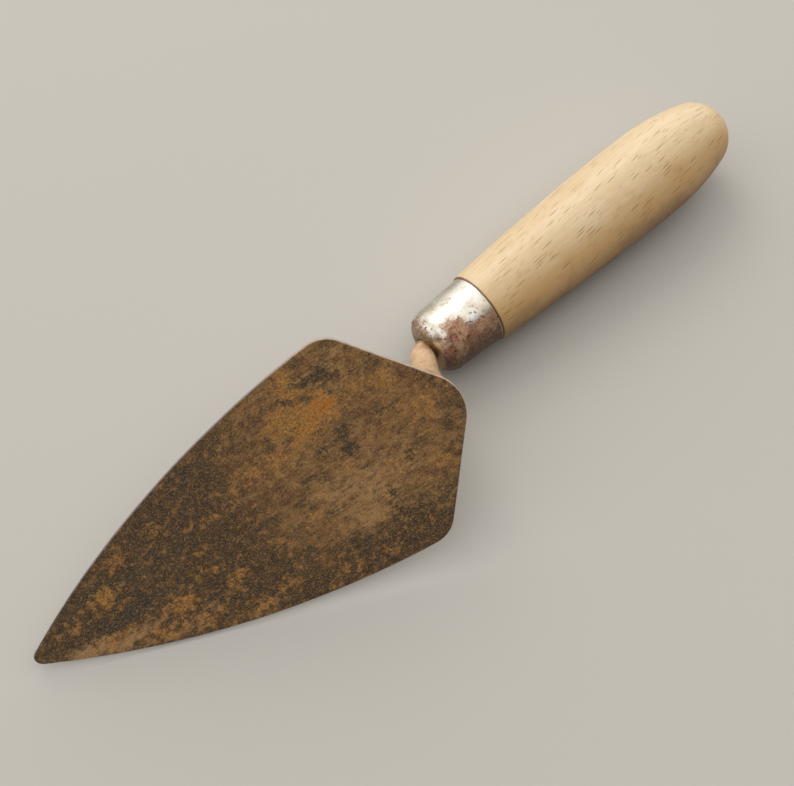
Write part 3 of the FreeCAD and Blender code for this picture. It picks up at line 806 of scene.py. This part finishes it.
# Where the plating is gone: distance from the joint, angle round the axis in
# degrees from +Y towards +Z, half-length, half-angle, strength.
SCABS = (
    (14.2, 116, 3.4, 17, 1.0), (16.0, 102, 2.6, 12, 0.9), (12.0, 108, 2.2, 7, 0.5),
    (9.5, 107, 1.8, 4, 0.55), (6.3, 113, 0.9, 4, 0.45), (4.0, 124, 0.6, 3, 0.4),
    (13.5, 86, 7.0, 12, 0.85), (4.0, 93, 4.5, 10, 0.9), (8.0, 62, 12.0, 22, 1.15),
    (18.5, 74, 3.0, 16, 0.9), (14.0, 25, 11.0, 34, 1.1), (3.0, 25, 5.0, 34, 1.0),
    (10.0, 250, 9.0, 36, 0.7), (6.0, 315, 9.0, 40, 0.95), (19.0, 330, 4.0, 60, 0.8),
    (14.0, 172, 2.2, 6, 0.35), (20.8, 178, 2.0, 42, 0.8),
)


# The angle round the axis that faces up as the tool lies, how far from it the
# rust keeps its own colour, and over how many more degrees it darkens as painted shade.
FACING_UP = 90 + math.degrees(REST_ROLL)
UNSHADED_HALF = 36
SHADE_SPREAD = 44


def turned(angle, centre):
    """The angle's distance from centre, -180 to 180 degrees."""
    return (angle - centre + 180) % 360 - 180


def painted_shade_from_top(points):
    """Painted shade: 0 on the ferrule's upper, lit side, 1 on the side that lies towards the floor."""
    values = []
    for _x, y, z in points:
        angle = math.degrees(math.atan2(z, y))
        away = (abs(turned(angle, FACING_UP)) - UNSHADED_HALF) / SHADE_SPREAD
        values.append(min(1.0, max(0.0, away)))
    return values


def ferrule_scabs(points):
    """How much of the plating has rusted away at each vertex."""
    values = []
    for x, y, z in points:
        angle = math.degrees(math.atan2(z, y)) + 7 * rough(x, y, z, 2.6)
        where = x + 0.9 * rough(x + 20, y, z, 2.4)
        total = 0.0
        for at, centre, long, wide, strength in SCABS:
            far = ((where - at) / long) ** 2 + (turned(angle, centre) / wide) ** 2
            total += strength * math.exp(-far)
        values.append(min(1.2, total))
    return values


def ferrule_material():
    s = Shader("ferrule_rusted_plating")
    scab = s.value("scab")
    mottle = s.noise(1.5, 6.0, 0.68, shift=33.0)
    grit = s.noise(0.5, 4.0, 0.7, shift=8.0)
    blotch = s.noise(4.0, 4.0, 0.6, shift=70.0)
    specks = s.cells(1.5, vector=s.stretched(1.0, 1.0, 1.0, (0.3, 0.1, 0.2)))
    speck = s.math("MULTIPLY", s.ramp(specks, 0.26, 0.14), s.ramp(blotch, 0.44, 0.58))
    along = s.axes()[0]
    gone = s.math("ADD", scab, s.ramp(mottle, 0.3, 0.7, -0.3, 0.3))
    gone = s.math("ADD", gone, s.ramp(grit, 0.3, 0.7, -0.25, 0.25))
    gone = s.ramp(gone, 0.42, 0.56)
    gone = s.math("MAXIMUM", gone, s.math("MULTIPLY", speck, 0.85))
    gone = s.math("MULTIPLY", gone, s.ramp(along, 0.35, 0.8, 0.35, 1.0))
    plate = s.mix(s.ramp(blotch, 0.4, 0.62), srgb(222, 218, 210), srgb(202, 192, 174))
    tarnish = s.math("ADD", s.ramp(along, 20.4, 22.1), s.ramp(mottle, 0.3, 0.7, -0.3, 0.3))
    plate = s.mix(s.ramp(tarnish, 0.1, 0.9, 0.0, 0.9), plate, srgb(124, 98, 62))
    floor_shade = s.value("floor_shade")
    rust = s.mix(s.ramp(mottle, 0.38, 0.62), srgb(128, 82, 60), srgb(188, 142, 110))
    rust = s.mix(s.ramp(blotch, 0.46, 0.6, 0.0, 0.7), rust, srgb(206, 168, 138))
    rust = s.mix(s.ramp(grit, 0.5, 0.32, 0.0, 0.85), rust, srgb(58, 32, 24))
    dots = s.cells(1.3, vector=s.stretched(1.0, 1.0, 1.0, (0.5, 0.2, 0.3)))
    dots = s.math("MULTIPLY", s.ramp(dots, 0.36, 0.2), s.ramp(blotch, 0.6, 0.4, 0.15, 0.9))
    rust = s.mix(dots, rust, srgb(70, 32, 24))
    # Painted shade: the rust is darker on the side that lies towards the floor.
    low = s.math("ADD", floor_shade, s.ramp(mottle, 0.3, 0.7, -0.3, 0.4))
    painted_shade_rust = s.mix(s.ramp(grit, 0.4, 0.6), srgb(36, 17, 9), srgb(86, 49, 26))
    rust = s.mix(s.ramp(low, 0.2, 1.0, 0.0, 0.85), rust, painted_shade_rust)
    gold = s.ramp(s.noise(5.0, 5.0, 0.7, shift=81.0), 0.52, 0.6)
    gold = s.math("MULTIPLY", gold, s.ramp(grit, 0.4, 0.6))
    rust = s.mix(s.math("MULTIPLY", gold, 0.7), rust, srgb(150, 120, 66))
    # The nose's front has the neck's pale rust round the hole.
    front = s.math("ADD", s.ramp(along, 20.6, 22.1), s.ramp(mottle, 0.3, 0.7, -0.3, 0.3))
    rust = s.mix(s.ramp(front, 0.2, 0.9, 0.0, 0.75), rust, srgb(178, 144, 104))
    height = s.math("MULTIPLY", gone, s.ramp(mottle, 0.3, 0.7, 0.4, 1.0))
    height = s.math("ADD", height, s.math("MULTIPLY", grit, 0.15))
    s.set(
        Base_Color=s.mix(gone, plate, rust),
        Metallic=s.ramp(gone, 0.0, 1.0, 1.0, 0.1),
        Roughness=s.math("ADD", s.ramp(gone, 0.0, 1.0, 0.24, 0.36), s.ramp(mottle, 0.3, 0.7, 0.0, 0.1)),
        Normal=s.bump(height, distance=0.06),
    )
    return s.material


# -------------------------------------------------------------------- handle

HANDLE_POINTS = 168
# How far the grip wanders from round, how strong its knocks are and above which
# noise they start, and where behind the joint both begin.
UNEVEN = 0.03
FINE_UNEVEN = 0.004
KNOCK_STRENGTH = 0.2
KNOCK_LEVEL = 0.45
GRIP_START = -1.0


def make_handle(material):
    """Turned wood, faintly out of round, with a few very slight knocks."""
    profile = handle_profile(step=0.9)
    rings = []
    for x, radius in profile[1:-1]:
        row = []
        for k in range(HANDLE_POINTS):
            a = 2 * math.pi * k / HANDLE_POINTS
            y, z = radius * math.cos(a), radius * math.sin(a)
            grown = radius
            if x < GRIP_START:
                uneven = UNEVEN * rough(x, y, z, 50.0, 1) + FINE_UNEVEN * rough(x, y, z, 6.0, 1)
                knock = KNOCK_STRENGTH * max(0.0, rough(x + 9, y, z, 7.0, 1) - KNOCK_LEVEL) ** 2
                grown += uneven - UNEVEN - knock
            row.append(Vector((x, grown * math.cos(a), grown * math.sin(a))))
        rings.append(row)
    verts, faces = loft(rings)
    # The fans' middles, last of the vertices, belong on the profile's two ends.
    verts[-2] = Vector((profile[0][0], 0, 0))
    verts[-1] = Vector((profile[-1][0], 0, 0))
    return make_piece("handle_grip", verts, faces, LYING, material, "handle")


# The direction in which the wood is painted browner and darker as shade, towards the
# floor, and the two sizes of its ray flecks: cell length and width, tilt, radius in shares of a cell,
# depth of colour.
SHADE_TILT = math.radians(10)
SHADED_SIDE = (0.0, math.cos(SHADE_TILT), -math.sin(SHADE_TILT))
FLECKS = ((18.0, 0.9, -0.1, 0.15, 0.8), (11.0, 0.75, -0.15, 0.15, 0.55))


def handle_material():
    s = Shader("handle_beech")
    broad = s.noise(1.0, 3.0, 0.55, vector=s.stretched(0.016, 0.12, 0.12))
    grain = s.noise(1.0, 5.0, 0.6, distortion=0.4, vector=s.stretched(0.05, 0.9, 0.9))
    hair = s.noise(1.0, 3.0, 0.6, vector=s.stretched(0.22, 4.5, 4.5))
    blotch = s.noise(16.0, 4.0, 0.55, shift=20.0)
    grime_and_shade_noise = s.noise(9.0, 5.0, 0.62, shift=55.0)
    along = s.axes()[0]

    colour = s.mix(s.ramp(broad, 0.36, 0.64), srgb(212, 186, 146), srgb(218, 196, 160))
    colour = s.mix(s.ramp(grain, 0.42, 0.68, 0.0, 0.3), colour, srgb(190, 158, 112))
    colour = s.mix(s.ramp(hair, 0.5, 0.72, 0.0, 0.35), colour, srgb(178, 146, 102))
    colour = s.mix(s.ramp(blotch, 0.55, 0.75, 0.0, 0.3), colour, srgb(206, 164, 112))

    # Painted shade: the lower side towards +Y, away from the light, is painted browner and darker.
    painted_shade_depth = s.add("ShaderNodeVectorMath", {0: s.place, 1: SHADED_SIDE}, operation="DOT_PRODUCT")
    painted_shade_depth = s.math("ADD", painted_shade_depth.outputs["Value"], s.ramp(grime_and_shade_noise, 0.3, 0.7, -1.6, 1.6))
    colour = s.mix(s.ramp(painted_shade_depth, -12.0, 2.0, 0.0, 0.7), colour, srgb(214, 166, 100))
    colour = s.mix(s.ramp(painted_shade_depth, -1.0, 13.0, 0.0, 0.85), colour, srgb(122, 76, 24))

    # Ray flecks: short dark dashes along the grain, one to a cell, on the grip's
    # surface unrolled from a seam that lies underneath.
    laid = s.add("ShaderNodeMapping", {
        "Vector": s.place, "Rotation": (-math.pi / 2 - REST_ROLL, 0.0, 0.0),
    }).outputs[0]
    _along, y, z = s.axes(laid)
    turn = s.math("MULTIPLY", s.math("ARCTAN2", z, y), JOINT_RADIUS)
    unrolled = s.add("ShaderNodeCombineXYZ", {0: along, 1: turn}).outputs[0]
    for long, wide, tilt, reach, depth in FLECKS:
        where = s.add("ShaderNodeMapping", {
            "Vector": unrolled, "Scale": (long, wide, 1.0), "Rotation": (0.0, 0.0, tilt),
        }, vector_type="TEXTURE").outputs[0]
        dash = s.ramp(s.cells(1.0, where, dimensions="2D"), reach, reach * 0.45)
        chosen = s.ramp(s.cells(1.0, where, output="Color", dimensions="2D"), 0.55, 0.66)
        dash = s.math("MULTIPLY", dash, chosen)
        colour = s.mix(s.math("MULTIPLY", dash, depth), colour, srgb(130, 82, 36))

    # Dirt from hands: faint over the grip, a ring at the ferrule.
    soiled = s.math("MULTIPLY", s.ramp(grime_and_shade_noise, 0.52, 0.74), s.ramp(along, -108.0, -40.0, 0.15, 0.3))
    colour = s.mix(soiled, colour, srgb(168, 134, 94))
    joint = s.math("MULTIPLY", s.ramp(along, -0.4, -0.05), s.ramp(grime_and_shade_noise, 0.3, 0.6, 0.4, 0.9))
    colour = s.mix(joint, colour, srgb(116, 78, 46))
    height = s.math("ADD", s.math("MULTIPLY", hair, 0.6), s.math("MULTIPLY", grain, 0.5))
    s.set(
        Base_Color=colour,
        Roughness=s.ramp(blotch, 0.35, 0.7, 0.4, 0.52),
        Normal=s.bump(height, distance=0.05),
        Specular_IOR_Level=0.5,
    )
    return s.material


# --------------------------------------------------------------------- stage

CAMERA_AIM = Vector((0.01146, -0.00895, 0.020))
CAMERA_DISTANCE = 0.3496
CAMERA_AZIMUTH = math.radians(46.37)
CAMERA_ELEVATION = math.radians(65.43)
CAMERA_ROLL = math.radians(3.21)
CAMERA_LENS = 52.14
SENSOR_WIDTH = 36.0

KEY_PLACE = Vector((-0.2, -0.85, 0.9))
KEY_AIM = Vector((0.0, 0.0, 0.02))
KEY_SIZE = 0.6
KEY_POWER = 3.5

# The sky's strength goes from SKY_DIM to SKY_BRIGHT as the dot product of a
# direction with SKY_LEAN goes over SKY_SPAN.
SKY_LEAN = Vector((-0.1, -0.7, 0.7)).normalized()
SKY_SPAN = (-0.1, 0.45)
SKY_DIM = 0.05
SKY_BRIGHT = 1.3
SKY_COLOUR = (1.0, 0.985, 0.96, 1.0)

FLOOR_HALF = 6.0


def aimed(location, target, roll=0.0):
    """A matrix at location whose -Z looks at target, turned by roll about its view."""
    turn = (target - location).to_track_quat("-Z", "Y").to_matrix().to_4x4()
    return Matrix.Translation(location) @ turn @ Matrix.Rotation(roll, 4, "Z")


def make_camera():
    lens = bpy.data.cameras.new("camera")
    lens.lens = CAMERA_LENS
    lens.sensor_width = SENSOR_WIDTH
    lens.clip_start = 0.01
    camera = bpy.data.objects.new("camera", lens)
    bpy.context.scene.collection.objects.link(camera)
    back = Vector((
        math.cos(CAMERA_AZIMUTH) * math.cos(CAMERA_ELEVATION),
        math.sin(CAMERA_AZIMUTH) * math.cos(CAMERA_ELEVATION),
        math.sin(CAMERA_ELEVATION),
    ))
    camera.matrix_world = aimed(CAMERA_AIM + back * CAMERA_DISTANCE, CAMERA_AIM, CAMERA_ROLL)
    bpy.context.scene.camera = camera


def make_key_light():
    light = bpy.data.lights.new("key", "AREA")
    light.shape = "SQUARE"
    light.size = KEY_SIZE
    light.energy = KEY_POWER
    lamp = bpy.data.objects.new("key", light)
    bpy.context.scene.collection.objects.link(lamp)
    lamp.matrix_world = aimed(KEY_PLACE, KEY_AIM)


def make_dome():
    """A soft sky: bright overhead and towards -Y, dim towards +Y."""
    world = bpy.data.worlds.new("dome")
    bpy.context.scene.world = world
    world.use_nodes = True
    tree = world.node_tree
    place = tree.nodes.new("ShaderNodeTexCoord")
    lean = tree.nodes.new("ShaderNodeVectorMath")
    lean.operation = "DOT_PRODUCT"
    lean.inputs[1].default_value = SKY_LEAN
    spread = tree.nodes.new("ShaderNodeMapRange")
    spread.interpolation_type = "SMOOTHSTEP"
    spread.inputs["From Min"].default_value = SKY_SPAN[0]
    spread.inputs["From Max"].default_value = SKY_SPAN[1]
    spread.inputs["To Min"].default_value = SKY_DIM
    spread.inputs["To Max"].default_value = SKY_BRIGHT
    tree.links.new(place.outputs["Generated"], lean.inputs[0])
    tree.links.new(lean.outputs["Value"], spread.inputs["Value"])
    background = tree.nodes["Background"]
    background.inputs["Color"].default_value = SKY_COLOUR
    tree.links.new(spread.outputs[0], background.inputs["Strength"])


def make_floor():
    """A plain pale studio floor at the tool's lowest point."""
    mesh = bpy.data.meshes.new("floor")
    corners = [(FLOOR_HALF * x, FLOOR_HALF * y, 0) for x, y in ((-1, -1), (1, -1), (1, 1), (-1, 1))]
    mesh.from_pydata(corners, [], [(0, 1, 2, 3)])
    floor = bpy.data.objects.new("floor", mesh)
    bpy.context.scene.collection.objects.link(floor)
    s = Shader("floor_pale")
    s.set(Base_Color=srgb(184, 180, 173), Roughness=0.9)
    mesh.materials.append(s.material)


make_blade(blade_material())
make_shank(shank_material())
make_ferrule(ferrule_material())
make_handle(handle_material())
make_camera()
make_dome()
make_key_light()
make_floor()

bpy.context.scene.view_settings.view_transform = "Standard"
